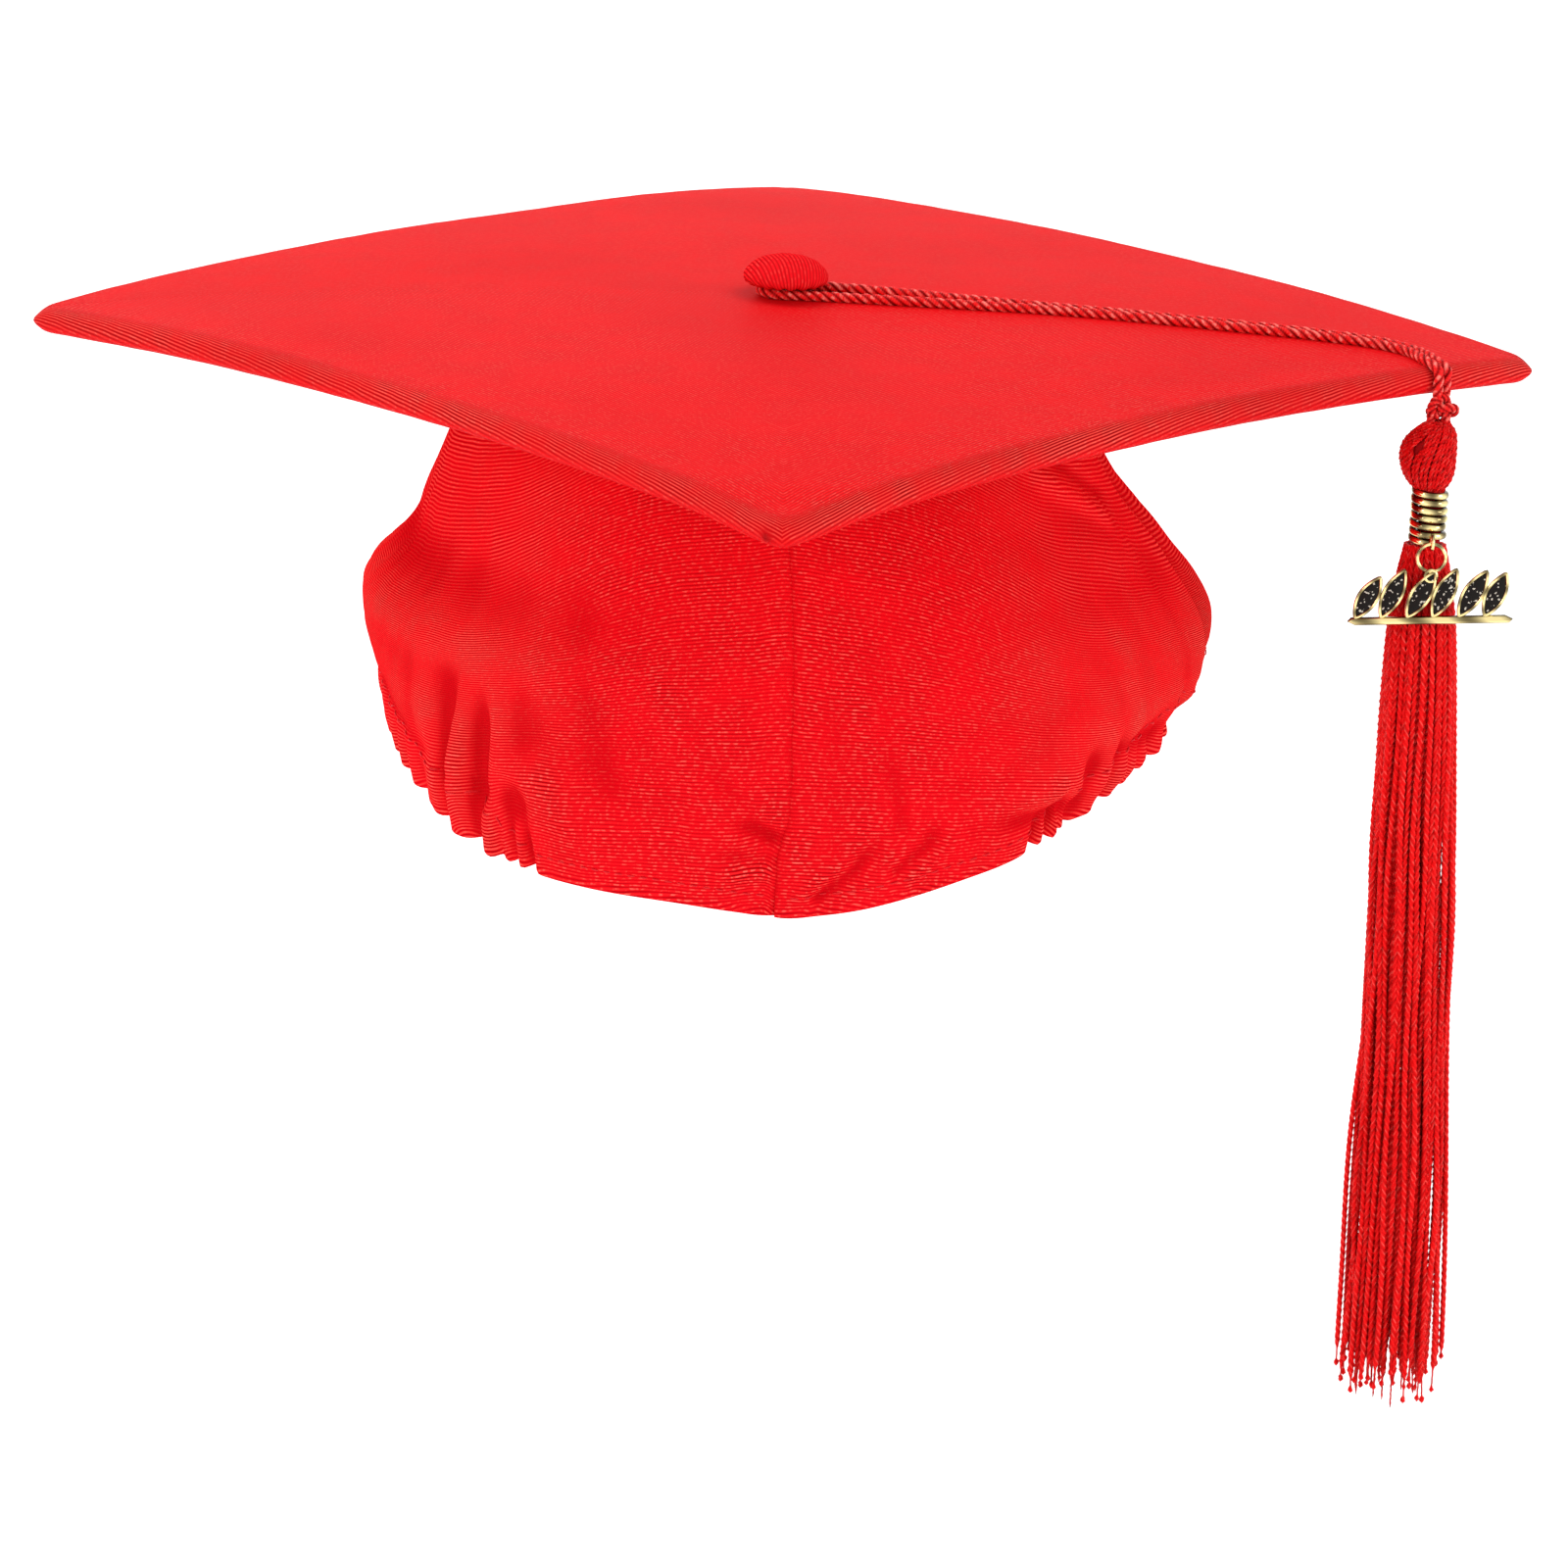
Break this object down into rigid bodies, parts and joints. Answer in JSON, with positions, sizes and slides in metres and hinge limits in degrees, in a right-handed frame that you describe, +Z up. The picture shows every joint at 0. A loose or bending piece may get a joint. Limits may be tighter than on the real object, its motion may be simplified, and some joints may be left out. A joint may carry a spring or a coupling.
{
  "type": "graduation cap",
  "caption": "Square fabric-covered board on a soft elastic-backed skull cap, with a button, a corded tassel and a leaf charm.",
  "frame": {"origin": "centre of the crown panel's flat inner face, where the top of the head rests", "axes": "+Z up out of the head, -Y towards the wearer's front, +X to the wearer's left; the board's corners lie on the X and Y axes"},
  "size_m": [0.3382, 0.3382, 0.2553],
  "materials": {
    "red_fabric": "matt polyester twill with fine ribs",
    "grey_card": "grey board",
    "white_wadding": "thin polyester wadding",
    "white_elastic": "braided elastic tape",
    "tinned_steel": "tinned pressed steel",
    "red_cord": "twisted rayon cord",
    "red_strand": "twisted rayon strands",
    "gold_plate": "polished gold plate",
    "black_enamel": "black enamel with fine glitter"
  },
  "bodies": {
    "cap": {"board_cover_top": "red_fabric", "board_cover_underside": "red_fabric", "board_stiffener": "grey_card", "board_padding": "white_wadding", "crown_panel": "red_fabric", "skull_panel_left": "red_fabric", "skull_panel_right": "red_fabric", "elastic_band": "white_elastic", "button_cover": "red_fabric", "button_shell": "tinned_steel", "button_back": "tinned_steel", "button_rivet": "tinned_steel", "retaining_washer": "tinned_steel"},
    "cord_arm": {"cord_loop": "red_cord"},
    "cord_drop": {"cord_drop_front": "red_cord", "cord_drop_rear": "red_cord", "cord_knot": "red_cord"},
    "tassel": {"tassel_head": "red_strand", "tassel_neck": "red_strand", "wire_wrap": "gold_plate", "wire_eye": "gold_plate", "strands_outer_01": "red_strand", "strands_outer_02": "red_strand", "strands_outer_03": "red_strand", "strands_outer_04": "red_strand", "strands_outer_05": "red_strand", "strands_outer_06": "red_strand", "strands_outer_07": "red_strand", "strands_outer_08": "red_strand", "strands_outer_09": "red_strand", "strands_outer_10": "red_strand", "strands_inner_01": "red_strand", "strands_inner_02": "red_strand", "strands_inner_03": "red_strand", "strands_inner_04": "red_strand"},
    "charm": {"charm_frame": "gold_plate", "enamel_leaf_1": "black_enamel", "enamel_leaf_2": "black_enamel", "enamel_leaf_3": "black_enamel", "enamel_leaf_4": "black_enamel", "enamel_leaf_5": "black_enamel", "enamel_leaf_6": "black_enamel"}
  },
  "joints": [
    {"name": "tassel_swivel", "type": "hinge", "parent": "cap", "child": "cord_arm", "pos_m": [0, 0, 0.0066], "axis": [0, 0, 1], "range_deg": [-60, 0]},
    {"name": "edge_lift", "type": "hinge", "parent": "cord_arm", "child": "cord_drop", "pos_m": [0.1429, -0.0244, -0.0022], "axis": [-0.7071, -0.7071, 0], "range_deg": [0, 60]},
    {"name": "tassel_sway", "type": "hinge", "parent": "cord_drop", "child": "tassel", "pos_m": [0.1459, -0.0274, -0.01095], "axis": [0.7071, -0.7071, 0], "range_deg": [-20, 20]},
    {"name": "charm_swing", "type": "hinge", "parent": "tassel", "child": "charm", "pos_m": [0.1459, -0.0341, -0.03745], "axis": [-1, 0, 0], "range_deg": [0, 60]}
  ]
}
